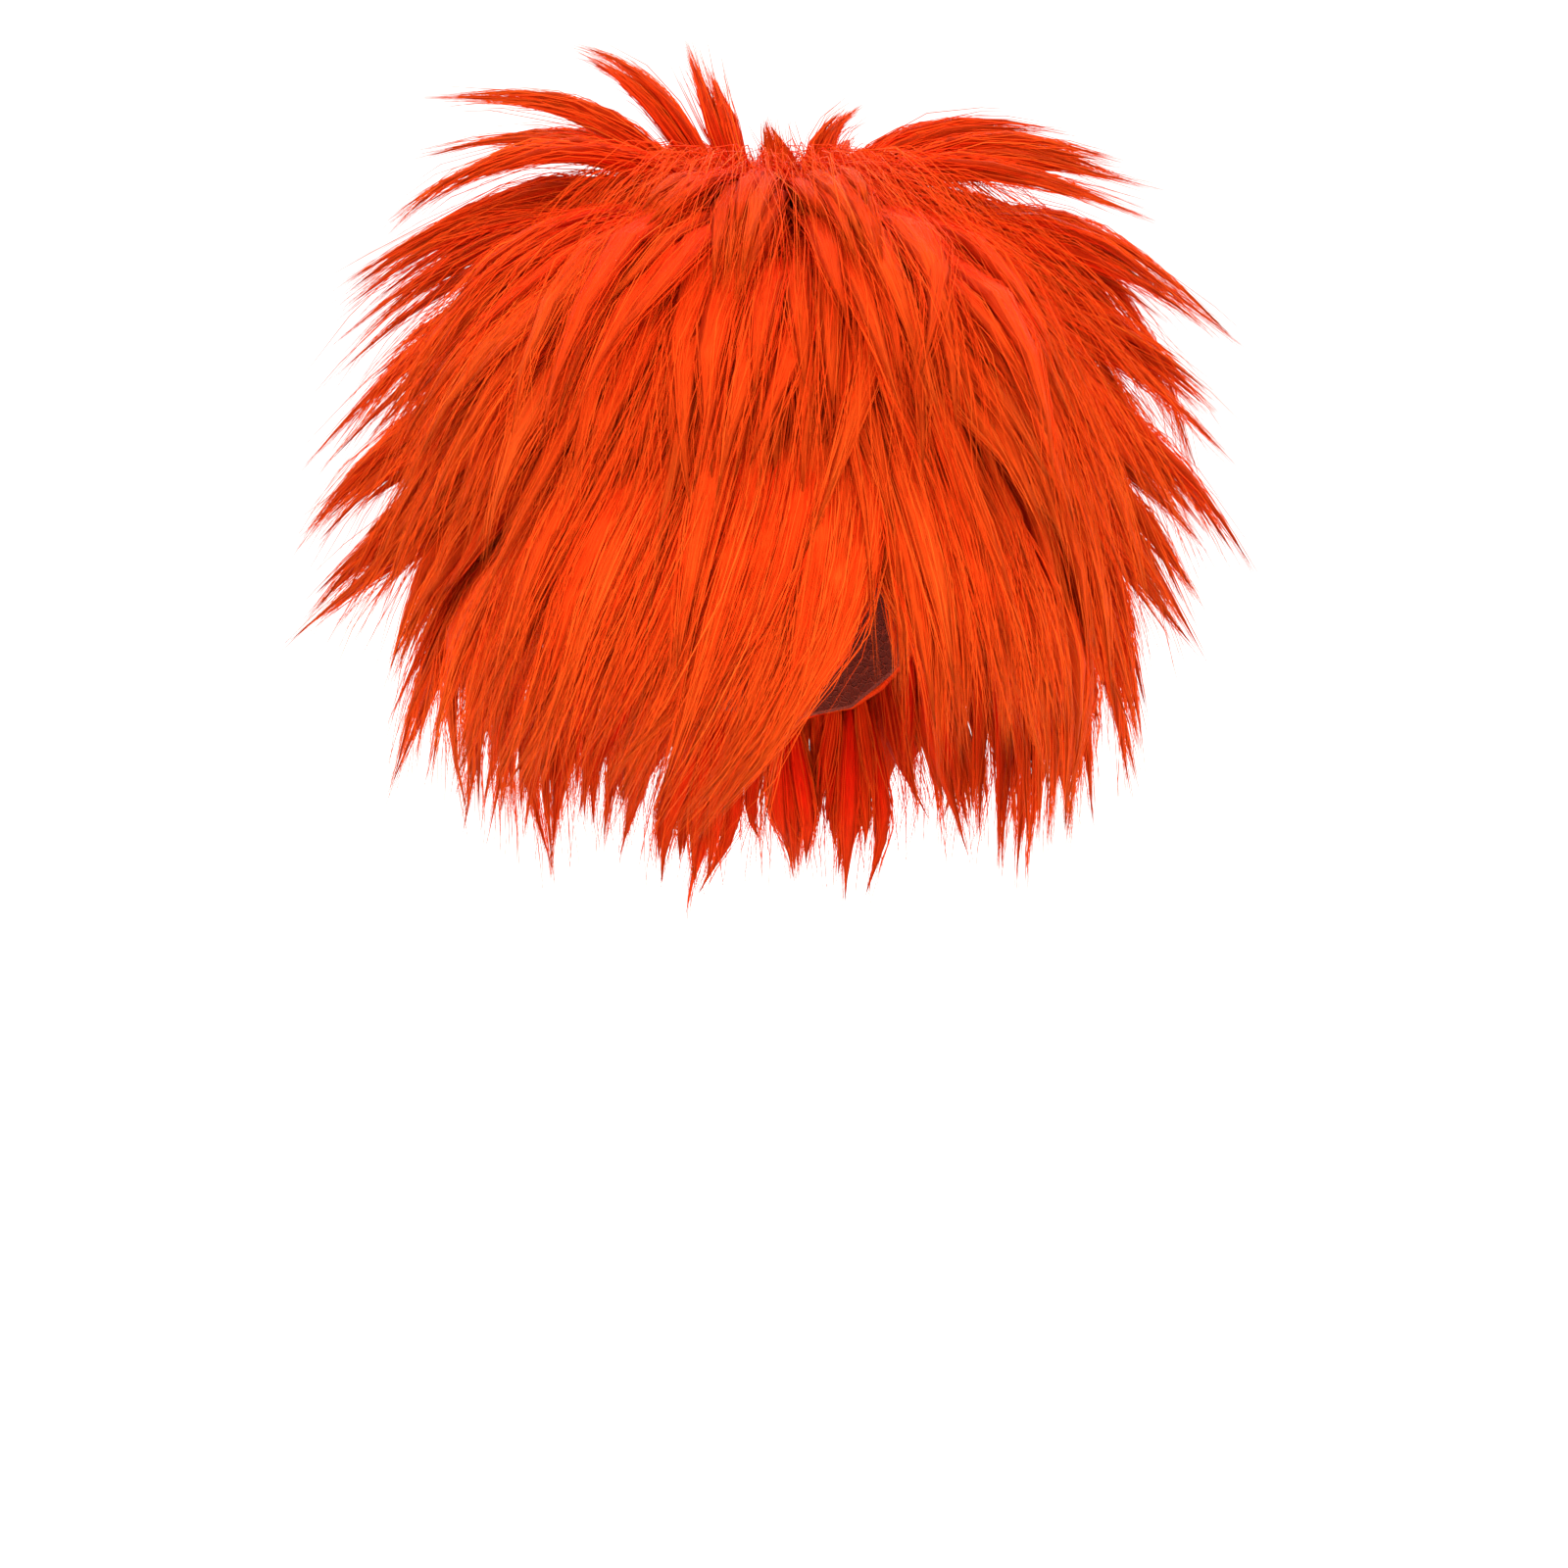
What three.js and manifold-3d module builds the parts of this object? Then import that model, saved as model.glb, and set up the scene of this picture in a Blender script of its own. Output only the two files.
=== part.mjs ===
// A short, spiky dress-up wig: a hollow cap, and the wefts of hair sewn round it.
// Millimetres, +Z up, the face looks along -Y. The origin is the inside top of the cap,
// where the crown of a head bears.
import * as THREE from "three";
import { mergeVertices } from "three/addons/utils/BufferGeometryUtils.js";
import Module from "manifold-3d";

// Head form that the cap fits: an egg whose top is the origin
const HEAD_HALF_WIDTH = 74;
const HEAD_HALF_DEPTH = 93;
const HEAD_DOME_HEIGHT = 110;

// Cap and weft bands
const CAP_WALL = 2;
const SEAT_GAP = 0.3;
const WEFT_WALL = 2;
const WEFT_TOP = CAP_WALL + SEAT_GAP + WEFT_WALL;
const WEFT_HEIGHT = 10;
const WEFT_END_DEG = 4; // how far a band runs past its last lock
const ROOT_DEPTH = 14;

// Hair
const SPIKE_REACH = 194; // from the head's upright axis to the widest spikes
const HAIR_DROP = 260; // from the crown down to the nape's tips
const TUFT_RISE = 84; // from the crown up to the highest tuft
const LOCK_WIDTH = 50;
const LOCK_THICKNESS = 22;
const LOCK_GAP = 0.4;
const ROOT_HOLD = 0.5; // shares of a lock's length that its two ends steer
const TIP_HOLD = 0.38;
const UNEVEN_REACH = 0.07;
const UNEVEN_SWEEP = 14; // degrees that a lock's tip turns aside, at most half of it each way

// Facets
const CAP_STEPS_ROUND = 28;
const CAP_STEPS_DOWN = 6;
const PATCH_STEPS_ROUND = 14;
const PATCH_STEPS_DOWN = 2;
const LOCK_SIDES = 4;
const WEFT_STEP_DEG = 20;

// The cap's edge, as degrees down from the crown, by azimuth from the face.
// It is the same on both sides: brow, temple, ear tab, over the ear, behind it, nape.
const CAP_EDGE = [
  { azimuth: 0, down: 58 },
  { azimuth: 35, down: 62 },
  { azimuth: 58, down: 80 },
  { azimuth: 75, down: 96 },
  { azimuth: 98, down: 89 },
  { azimuth: 125, down: 106 },
  { azimuth: 155, down: 124 },
  { azimuth: 180, down: 128 },
];

// A lock's outline: its width and thickness along its length, as shares of the full ones
const LOCK_SECTIONS = [
  { along: 0, width: 0.4, thickness: 0.25 },
  { along: 0.24, width: 0.75, thickness: 0.75 },
  { along: 0.52, width: 1, thickness: 1 },
  { along: 0.78, width: 0.6, thickness: 0.6 },
  { along: 1, width: 0.03, thickness: 0.06 },
];

// Weft rows from the crown down. root is the share of the way to the cap's edge; from, to
// and spacing are azimuths; lift is how steeply a lock leaves the cap, and droop how far its
// tip bends down from its chord, in degrees. reach is a share of SPIKE_REACH and drop of
// HAIR_DROP, on four sides.
const WEFT_ROWS = [
  {
    name: "top_weft", root: 0.27, from: -180, to: 150, spacing: 30, width: 1.08, lift: 62, droop: 28,
    front: { reach: 0.7, drop: 0.34 }, right: { reach: 0.88, drop: 0.15 },
    back: { reach: 0.86, drop: 0.1 }, left: { reach: 1, drop: 0.2 },
  },
  {
    name: "upper_weft", root: 0.43, from: -180, to: 157.5, spacing: 22.5, width: 1, lift: 56, droop: 24,
    front: { reach: 0.69, drop: 0.42 }, right: { reach: 0.89, drop: 0.29 },
    back: { reach: 0.92, drop: 0.25 }, left: { reach: 0.95, drop: 0.32 },
  },
  {
    name: "middle_weft", root: 0.58, from: 45, to: 315, spacing: 22.5, width: 1, lift: 48, droop: 20,
    front: { reach: 0.62, drop: 0.42 }, right: { reach: 0.9, drop: 0.48 },
    back: { reach: 0.94, drop: 0.42 }, left: { reach: 0.95, drop: 0.45 },
  },
  {
    name: "ear_weft", root: 0.71, from: 67.5, to: 292.5, spacing: 22.5, width: 0.96, lift: 44, droop: 14,
    front: { reach: 0.58, drop: 0.72 }, right: { reach: 0.82, drop: 0.6 },
    back: { reach: 0.9, drop: 0.6 }, left: { reach: 0.94, drop: 0.57 },
  },
  {
    name: "lower_weft", root: 0.84, from: 67.5, to: 292.5, spacing: 22.5, width: 0.88, lift: 40, droop: 14,
    front: { reach: 0.56, drop: 0.76 }, right: { reach: 0.68, drop: 0.81 },
    back: { reach: 0.74, drop: 0.8 }, left: { reach: 0.73, drop: 0.79 },
  },
  {
    name: "nape_weft", root: 0.95, from: 90, to: 270, spacing: 22.5, width: 0.7, lift: 30, droop: 6,
    front: { reach: 0.5, drop: 0.85 }, right: { reach: 0.5, drop: 0.88 },
    back: { reach: 0.53, drop: 0.97 }, left: { reach: 0.56, drop: 0.9 },
  },
];
// Every second lock of a row is shorter and hangs lower
const STAGGER = { reach: 0.88, drop: 0.05 };
// Over the brow the locks leave the cap lower, hang steeper and are brushed to one side
const BROW = { lift: -14, droop: 22, sweep: -14 };

// Fringe locks from the parting outwards. across and out are shares of SPIKE_REACH to the
// right of the middle and in front of it; toward is the way the tip points, in degrees to
// the right of straight down.
const FRINGE_ROOT = 0.88; // share of the way to the cap's edge
const FRINGE_LIFT = 26; // degrees
const FRINGE_TUCK = 0.15; // how far back a tip points for each step ahead
const FRINGE_LEFT = [
  { azimuth: 14, root: 0.84, across: -0.21, out: 0.57, drop: 0.79, toward: -50, width: 0.9 },
  { azimuth: 2, root: 0.92, across: -0.32, out: 0.58, drop: 0.79, toward: -35, width: 0.85 },
  { azimuth: -10, root: 0.84, across: -0.4, out: 0.58, drop: 0.74, toward: -25, width: 0.85 },
  { azimuth: -23, root: 0.92, across: -0.47, out: 0.55, drop: 0.77, toward: -18, width: 0.8 },
  { azimuth: -36, root: 0.84, across: -0.55, out: 0.5, drop: 0.7, toward: -15, width: 0.8 },
  { azimuth: -49, root: 0.9, across: -0.61, out: 0.42, drop: 0.74, toward: -12, width: 0.75 },
];
const FRINGE_RIGHT = [
  { azimuth: 25, root: 0.92, across: 0.31, out: 0.57, drop: 0.72, toward: 4, width: 0.8 },
  { azimuth: 36, root: 0.84, across: 0.42, out: 0.55, drop: 0.68, toward: 12, width: 0.75 },
  { azimuth: 48, root: 0.9, across: 0.52, out: 0.48, drop: 0.7, toward: 12, width: 0.7 },
];

// Crown tufts. across and back are shares of SPIKE_REACH to the right of the crown and
// behind it; rise is a share of TUFT_RISE; lift and tilt steer the root and the tip, in
// degrees above the cap and above level.
const CROWN_TUFTS = [
  { azimuth: -60, root: 0.07, across: -0.2, back: 0.1, rise: 1, lift: 72, tilt: 62, width: 0.45 },
  { azimuth: -85, root: 0.09, across: -0.45, back: 0.05, rise: 0.93, lift: 68, tilt: 10, width: 0.7 },
  { azimuth: -75, root: 0.14, across: -0.69, back: 0.05, rise: 0.68, lift: 72, tilt: -4, width: 0.45 },
  { azimuth: -105, root: 0.14, across: -0.77, back: 0.14, rise: 0.44, lift: 70, tilt: -8, width: 0.7 },
  { azimuth: -62, root: 0.15, across: -0.765, back: -0.1, rise: 0.02, lift: 70, tilt: -50, width: 0.9 },
  { azimuth: -95, root: 0.15, across: -0.87, back: 0.02, rise: -0.2, lift: 62, tilt: -28, width: 0.8 },
  { azimuth: 95, root: 0.09, across: 0.6, back: 0.05, rise: 0.46, lift: 80, tilt: -16, width: 0.6 },
  { azimuth: 75, root: 0.14, across: 0.76, back: 0, rise: 0.26, lift: 74, tilt: -20, width: 0.8 },
  { azimuth: 58, root: 0.15, across: 0.7, back: -0.14, rise: 0.12, lift: 70, tilt: -24, width: 0.8 },
  { azimuth: -35, root: 0.15, across: -0.28, back: -0.54, rise: -0.2, lift: 70, tilt: -60, width: 0.9 },
  { azimuth: -8, root: 0.15, across: -0.1, back: -0.61, rise: -0.35, lift: 70, tilt: -68, width: 0.9 },
  { azimuth: 22, root: 0.15, across: 0.18, back: -0.6, rise: -0.25, lift: 70, tilt: -64, width: 0.9 },
  { azimuth: 160, root: 0.06, across: -0.04, back: 0.1, rise: 0.64, lift: 84, tilt: 60, width: 0.6 },
  { azimuth: 100, root: 0.06, across: 0.16, back: 0.08, rise: 0.66, lift: 80, tilt: 20, width: 0.7 },
  { azimuth: 118, root: 0.1, across: 0.42, back: 0.5, rise: 0.3, lift: 72, tilt: -24, width: 0.8 },
  { azimuth: 148, root: 0.1, across: 0.2, back: 0.66, rise: 0.3, lift: 72, tilt: -22, width: 0.8 },
  { azimuth: -178, root: 0.1, across: -0.04, back: 0.7, rise: 0.2, lift: 70, tilt: -26, width: 0.8 },
  { azimuth: -140, root: 0.1, across: -0.34, back: 0.6, rise: 0.34, lift: 72, tilt: -20, width: 0.8 },
];
// The round patch they are sewn to, as a share of the way to the cap's edge
const CROWN_PATCH = 0.17;

const hairMaterial = new THREE.MeshStandardMaterial({ color: 0xe63c14, roughness: 0.45, metalness: 0 });
const capMaterial = new THREE.MeshStandardMaterial({ color: 0x4a1d10, roughness: 0.85, metalness: 0 });

const wasm = await Module();
wasm.setup();
const { degToRad, lerp } = THREE.MathUtils;
const point = (x, y, z) => new THREE.Vector3(x, y, z);

// A geometry with each vertex moved to where place puts it, as a manifold-3d solid
function wrapped(geometry, place) {
  geometry.deleteAttribute("normal");
  geometry.deleteAttribute("uv");
  const merged = mergeVertices(geometry, 1e-5);
  const position = merged.attributes.position;
  for (let i = 0; i < position.count; i++) {
    const moved = place(position.getX(i), position.getY(i), position.getZ(i));
    position.setXYZ(i, moved.x, moved.y, moved.z);
  }
  return new wasm.Manifold(
    new wasm.Mesh({
      numProp: 3,
      vertProperties: position.array,
      triVerts: new Uint32Array(merged.index.array),
    }),
  );
}

// The value between the rows of a table, eased, for a key that rises down the table
function between(table, key, value, column) {
  const next = Math.max(1, table.findIndex((row) => row[key] >= value));
  const [a, b] = [table[next - 1], table[next]];
  const share = THREE.MathUtils.clamp((value - a[key]) / (b[key] - a[key]), 0, 1);
  return lerp(a[column], b[column], THREE.MathUtils.smoothstep(share, 0, 1));
}

// Degrees down from the crown to the cap's edge
function edgeDown(azimuth) {
  const turned = Math.abs(THREE.MathUtils.euclideanModulo(azimuth + 180, 360) - 180);
  return between(CAP_EDGE, "azimuth", turned, "down");
}

// A point of the head form, by azimuth and degrees down from the crown, raised off it
function onHead(azimuth, down, raised = 0) {
  const [a, d] = [degToRad(azimuth), degToRad(down)];
  return point(
    (HEAD_HALF_WIDTH + raised) * Math.sin(d) * Math.sin(a),
    -(HEAD_HALF_DEPTH + raised) * Math.sin(d) * Math.cos(a),
    (HEAD_DOME_HEIGHT + raised) * Math.cos(d) - HEAD_DOME_HEIGHT,
  );
}

// A dome over the head form, between two heights off it, down to a share of the cap's edge
function dome(inner, outer, edge = 1, stepsDown = CAP_STEPS_DOWN, stepsRound = CAP_STEPS_ROUND) {
  const shares = Array.from({ length: stepsDown + 1 }, (_, i) => (edge * i) / stepsDown);
  const profile = [
    ...shares.map((share) => new THREE.Vector2(share, inner)),
    ...shares.toReversed().map((share) => new THREE.Vector2(share, outer)),
  ];
  return wrapped(new THREE.LatheGeometry(profile, stepsRound), (x, y, z) => {
    const azimuth = THREE.MathUtils.radToDeg(Math.atan2(x, z));
    return onHead(azimuth, Math.hypot(x, z) * edgeDown(azimuth), y);
  });
}

// The band that a row of locks is sewn to
function weftBand(from, to, root, spare) {
  const steps = Math.round((to - from) / WEFT_STEP_DEG);
  const band = new THREE.BoxGeometry(1, 1, 1, steps, 1, 1);
  const top = WEFT_TOP + spare;
  const halfBand = THREE.MathUtils.radToDeg((WEFT_HEIGHT / 2 + spare) / HEAD_DOME_HEIGHT);
  return wrapped(band, (x, y, z) => {
    const azimuth = lerp(from - spare, to + spare, x + 0.5);
    return onHead(azimuth, root * edgeDown(azimuth) - 2 * halfBand * y, lerp(0, top, z + 0.5));
  });
}

// A lock along a curve: its rings stand across the curve, their width level at the root
function lock({ curve, azimuth, width }, spare) {
  const steps = LOCK_SECTIONS.length - 1;
  const tube = new THREE.CylinderGeometry(1, 1, 1, LOCK_SIDES, steps);
  const level = point(Math.cos(degToRad(azimuth)), Math.sin(degToRad(azimuth)), 0);
  return wrapped(tube, (x, y, z) => {
    const section = LOCK_SECTIONS[Math.round((0.5 - y) * steps)];
    const centre = curve.getPoint(section.along);
    const ahead = curve.getTangent(section.along);
    const side = level.clone().addScaledVector(ahead, -level.dot(ahead)).normalize();
    const up = ahead.clone().cross(side);
    const halfWidth = (width * section.width) / 2 + spare;
    const halfThickness = (LOCK_THICKNESS * section.thickness) / 2 + spare;
    return centre
      .addScaledVector(side, x * halfWidth)
      .addScaledVector(up, z * halfThickness)
      .addScaledVector(ahead, spare * 2 * (section.along - 0.5));
  });
}

// The curve of a lock from its root on the cap to its tip, which points along heading
function lockCurve(azimuth, root, tip, heading, lift) {
  const down = root * edgeDown(azimuth);
  const raised = WEFT_TOP - WEFT_WALL / 2;
  const start = onHead(azimuth, down, raised);
  const along = onHead(azimuth, down + 1, raised).sub(start).normalize();
  const off = onHead(azimuth, down, raised + 1).sub(start).normalize();
  const angle = degToRad(lift);
  const leaving = along.multiplyScalar(Math.cos(angle)).addScaledVector(off, Math.sin(angle));
  const length = start.distanceTo(tip);
  return new THREE.CubicBezierCurve3(
    start,
    start.clone().addScaledVector(leaving, ROOT_HOLD * length),
    tip.clone().addScaledVector(heading, -TIP_HOLD * length),
    tip,
  );
}

// A row's reach or drop at an azimuth, from its four sides
function sideValue(row, azimuth, column) {
  const [c, s] = [Math.cos(degToRad(azimuth)), Math.sin(degToRad(azimuth))];
  const ahead = c > 0 ? row.front : row.back;
  const beside = s > 0 ? row.right : row.left;
  return ahead[column] * c * c + beside[column] * s * s;
}

// A value between -0.5 and 0.5 that differs from lock to lock, evenly spread
function uneven(index, step) {
  return THREE.MathUtils.euclideanModulo(index * step, 1) - 0.5;
}

// The index-th lock of a row, counted from the left side, where the even ones are long
function rowLock(row, index) {
  const azimuth = index * row.spacing - 90;
  const brow = Math.max(0, Math.cos(degToRad(azimuth))) ** 2;
  const short = Math.abs(index) % 2;
  const stretch = (1 - short * (1 - STAGGER.reach)) * (1 + UNEVEN_REACH * uneven(index, 0.618));
  const reach = SPIKE_REACH * sideValue(row, azimuth, "reach") * stretch;
  const drop = HAIR_DROP * (sideValue(row, azimuth, "drop") + short * STAGGER.drop);
  const sweep = UNEVEN_SWEEP * uneven(index + row.root, 0.414) + BROW.sweep * brow;
  const a = degToRad(azimuth + sweep);
  const outward = point(Math.sin(a), -Math.cos(a), 0);
  const tip = outward.clone().multiplyScalar(reach).setZ(-drop);
  const start = onHead(azimuth, row.root * edgeDown(azimuth));
  const chord = Math.atan2(tip.z - start.z, reach - Math.hypot(start.x, start.y));
  const angle = chord - degToRad(row.droop + BROW.droop * brow);
  const heading = outward.multiplyScalar(Math.cos(angle)).setZ(Math.sin(angle));
  return {
    curve: lockCurve(azimuth, row.root, tip, heading, row.lift + BROW.lift * brow),
    azimuth,
    width: LOCK_WIDTH * row.width,
  };
}

function weftRow(row, spare) {
  const first = Math.ceil((row.from + 90) / row.spacing);
  const last = Math.floor((row.to + 90) / row.spacing);
  const past = row.spacing / 2 - 1;
  let whole = weftBand(row.from - past, row.to + past, row.root, spare);
  for (let index = first; index <= last; index++) whole = whole.add(lock(rowLock(row, index), spare));
  return whole;
}

function fringe(table, spare) {
  const azimuths = table.map((one) => one.azimuth);
  const from = Math.min(...azimuths) - WEFT_END_DEG;
  const to = Math.max(...azimuths) + WEFT_END_DEG;
  return table.reduce((whole, one) => {
    const tip = point(one.across * SPIKE_REACH, -one.out * SPIKE_REACH, -one.drop * HAIR_DROP);
    const a = degToRad(one.toward);
    const heading = point(Math.sin(a), FRINGE_TUCK, -Math.cos(a)).normalize();
    const curve = lockCurve(one.azimuth, one.root, tip, heading, FRINGE_LIFT);
    return whole.add(lock({ curve, azimuth: one.azimuth, width: LOCK_WIDTH * one.width }, spare));
  }, weftBand(from, to, FRINGE_ROOT, spare));
}

function crownTufts(spare) {
  const edge = CROWN_PATCH + spare / HEAD_DOME_HEIGHT;
  const patch = dome(0, WEFT_TOP + spare, edge, PATCH_STEPS_DOWN, PATCH_STEPS_ROUND);
  return CROWN_TUFTS.reduce((whole, one) => {
    const tip = point(one.across * SPIKE_REACH, one.back * SPIKE_REACH, one.rise * TUFT_RISE);
    const a = degToRad(one.tilt);
    const heading = point(tip.x, tip.y, 0).normalize().multiplyScalar(Math.cos(a)).setZ(Math.sin(a));
    const curve = lockCurve(one.azimuth, one.root, tip, heading, one.lift);
    return whole.add(lock({ curve, azimuth: one.azimuth, width: LOCK_WIDTH * one.width }, spare));
  }, patch);
}

// The biggest body of a cut solid, without the crumbs of its cuts
function biggest(solid) {
  return solid.decompose().reduce((a, b) => (a.volume() > b.volume() ? a : b));
}

function mesh(name, solid, material) {
  const made = solid.getMesh();
  const geometry = new THREE.BufferGeometry();
  geometry.setAttribute("position", new THREE.BufferAttribute(made.vertProperties, made.numProp));
  geometry.setIndex(new THREE.BufferAttribute(made.triVerts, 1));
  geometry.computeVertexNormals();
  const named = new THREE.Mesh(geometry, material);
  named.name = name;
  return named;
}

// From the outside in, each piece of hair stays clear of the cap and of the pieces over it
const hairPieces = [
  { name: "crown_tufts", make: crownTufts },
  ...WEFT_ROWS.slice(0, 3).map((row) => ({ name: row.name, make: (spare) => weftRow(row, spare) })),
  { name: "fringe_left", make: (spare) => fringe(FRINGE_LEFT, spare) },
  { name: "fringe_right", make: (spare) => fringe(FRINGE_RIGHT, spare) },
  ...WEFT_ROWS.slice(3).map((row) => ({ name: row.name, make: (spare) => weftRow(row, spare) })),
];

const wig = new THREE.Group();
wig.add(mesh("cap", dome(0, CAP_WALL), capMaterial));
// The room the cap takes, with one ring more past its edge
const pastEdge = CAP_STEPS_DOWN + 1;
let taken = dome(-ROOT_DEPTH, CAP_WALL + SEAT_GAP, pastEdge / CAP_STEPS_DOWN, pastEdge);
for (const { name, make } of hairPieces) {
  wig.add(mesh(name, biggest(make(0).subtract(taken)), hairMaterial));
  taken = taken.add(make(LOCK_GAP));
}

export default wig;
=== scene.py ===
"""A short, spiky dress-up wig: fine hair in pointed locks, sewn in rows to a hollow cap."""

import math
from collections import namedtuple

import bpy
import numpy as np
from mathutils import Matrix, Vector


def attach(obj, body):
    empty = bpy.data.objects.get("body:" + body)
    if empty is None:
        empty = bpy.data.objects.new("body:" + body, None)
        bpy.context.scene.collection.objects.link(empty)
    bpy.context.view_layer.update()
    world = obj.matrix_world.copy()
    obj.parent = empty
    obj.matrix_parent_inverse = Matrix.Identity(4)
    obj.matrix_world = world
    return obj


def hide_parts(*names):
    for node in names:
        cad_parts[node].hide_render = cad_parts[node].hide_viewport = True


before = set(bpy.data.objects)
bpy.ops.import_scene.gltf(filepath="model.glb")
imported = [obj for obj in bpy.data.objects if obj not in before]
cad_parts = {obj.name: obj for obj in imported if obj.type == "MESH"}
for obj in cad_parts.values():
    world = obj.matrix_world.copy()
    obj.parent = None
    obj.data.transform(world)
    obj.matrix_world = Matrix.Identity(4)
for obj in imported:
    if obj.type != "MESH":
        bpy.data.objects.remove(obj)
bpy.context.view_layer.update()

# The hollow that the cap goes round, as in the frame, in metres
HEAD_HALF_WIDTH = 0.074
HEAD_HALF_DEPTH = 0.093
HEAD_DOME_HEIGHT = 0.110
ROOT_HEIGHT = 0.0033  # of the locks' roots over the hollow

# Hair, as in the frame
SPIKE_REACH = 0.194
HAIR_DROP = 0.260
TUFT_RISE = 0.084
LOCK_WIDTH = 0.050
LOCK_THICKNESS = 0.022
ROOT_HOLD = 0.5
TIP_HOLD = 0.38
UNEVEN_REACH = 0.07
UNEVEN_SWEEP = 14
UNEVEN_STEP = 0.618
SWEEP_STEP = 0.414

# Clumps that a lock parts into, and the slim bodies that their strands lie over
SEED = 7
GOLDEN_ANGLE = 2.39996
LEAST_HALF_WIDTH = 0.004
LEAST_HALF_THICKNESS = 0.003
CLUMP_END = 1.03
CLUMP_TONES = (0.25, 0.75)
CLUMP_TONE_SPREAD = 0.08
BEND_OFF = 0.4
BEND_GROWTH = 2.2
BODY_SIDES = 8
BODY_ALONG = (0, 0.12, 0.28, 0.46, 0.63, 0.78, 0.92)
BODY_SHARE = (0.2, 0.7, 0.86, 0.74, 0.5, 0.25, 0)
TUFT_BODY_SHARE = (0, 0.2, 0.45, 0.8, 0.7, 0.4, 0)
BODY_RIBS = (0.9, 1.1)
# Painted shade: a body's tone falls by this much at its underside and by half at its sides
BODY_PAINTED_SHADE = 0.3
ALL_TONES = (0.02, 0.97)  # kept clear of the map's ends

# Strands: thin tubes, gathered round each clump's line
STRAND_RADIUS = 0.00019
STRAND_SIZES = (0.75, 1.25)
STRAND_SIDES = 3
STRAND_STEPS = 5
STRAND_TAPER = np.array([0, 1, 1, 0.95, 0.7, 0])
STRAND_TONES = 0.012
STEP_SHIFT = 0.7
GATHER_ALONG = (0, 0.15, 0.3, 0.5, 0.65, 0.8, 1)
GATHER = (0.4, 0.85, 1, 0.88, 0.66, 0.42, 0.12)
GATHER_ROUND = (0.92, 1.12)
LOOSE_GATHER = 0.8
LOOSE_STRAY = 0.007
CLOSE_STRAY = 0.0012
MOST_STRAY = 1.7
OFF_STRAY = 0.5
# Painted light and shade: strands on a clump's upper side are this much lighter in tone, those
# underneath this much deeper red
PAINTED_LIGHT_AND_SHADE_ROUND_CLUMPS = 0.14
# Painted highlight: strands are lifted this much lighter than the bodies they lie over, which stay
# deeper as painted shade
STRAND_PAINTED_HIGHLIGHT = 0.04
STRAND_TONE_SPREAD = 0.14
STRAND_SHORTER = 0.2

# Single strands laid over the locks
VEIL_END = (0.6, 1.02)
VEIL_HEIGHT = (0.3, 1.05)
VEIL_ROOT_STRAY = 0.001
VEIL_TIP_STRAY = 0.0065
# Painted highlight: the veil's strands, lying outermost, are lifted this much lighter in tone
VEIL_PAINTED_HIGHLIGHT = 0.05
VEIL_TONE_SPREAD = 0.15

# How each row is combed: strands, share of them in the veil, clumps in a lock, their size and
# spread as shares of the lock's section, how far the tips stay apart, bend, how unequal, tone,
# and the share of loose strands
Combing = namedtuple(
    "Combing", "strands veil per_lock size spread tips_apart bend unequal tone loose"
)
COMBING = {
    "top_weft": Combing(2900, 0.2, 11, 0.38, 0.9, 0.12, 0.06, 0.6, 0.41, 0.18),
    "upper_weft": Combing(4000, 0.2, 11, 0.38, 0.9, 0.12, 0.06, 0.6, 0.47, 0.14),
    "middle_weft": Combing(3000, 0.2, 9, 0.44, 0.9, 0.12, 0.05, 0.5, 0.58, 0.12),
    "ear_weft": Combing(2150, 0.2, 9, 0.44, 0.9, 0.12, 0.05, 0.5, 0.6, 0.12),
    "lower_weft": Combing(2150, 0.2, 9, 0.42, 0.9, 0.2, 0.05, 0.6, 0.54, 0.12),
    "nape_weft": Combing(2300, 0.2, 11, 0.32, 0.95, 0.4, 0.06, 0.7, 0.46, 0.12),
    "fringe_left": Combing(2950, 0.15, 9, 0.44, 0.9, 0.16, 0.04, 0.4, 0.53, 0.1),
    "fringe_right": Combing(1700, 0.15, 9, 0.44, 0.9, 0.16, 0.04, 0.4, 0.56, 0.1),
    "crown_tufts": Combing(5700, 0.42, 7, 0.26, 0.5, 0.05, 0.04, 0.5, 0.43, 0.35),
    "brow_sweep": Combing(2800, 0.15, 7, 0.34, 0.9, 0.2, 0.08, 0.8, 0.46, 0),
    "back_sweep": Combing(700, 0.2, 7, 0.36, 0.9, 0.2, 0.07, 0.7, 0.48, 0.14),
    "infill": Combing(1000, 0.3, 5, 0.4, 0.9, 0.2, 0.07, 0.7, 0.5, 0.12),
}

# Locks that fill the room between two weft rows
INFILL_WIDTH = 0.7
INFILL_UNEVEN = 0.4

# Hair that stands up from the whorl and falls to all sides
WHORL_ROOT = 0.02
WHORL_SUNK = 0.002
WHORL_RISE = 0.05
WHORL_RISES = (0.45, 1.05)
WHORL_TURN = 22
WHORL_REACH = (0.07, 0.125)
WHORL_FALL = (0.0, 0.075)
WHORL_STRAY = 0.004
WHORL_TONE = 0.45
WHORL_TONE_SPREAD = 0.16

# Long hair that sweeps from the whorl over the brow to the fringe's tips
SWEEP_ROOT = 0.14
SWEEP_RISE = 0.046
SWEEP_OUT = 0.066
SWEEP_FORWARD = 0.018
SWEEP_MIDDLE = 0.1
SWEEP_WIDTH = 0.75

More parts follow.
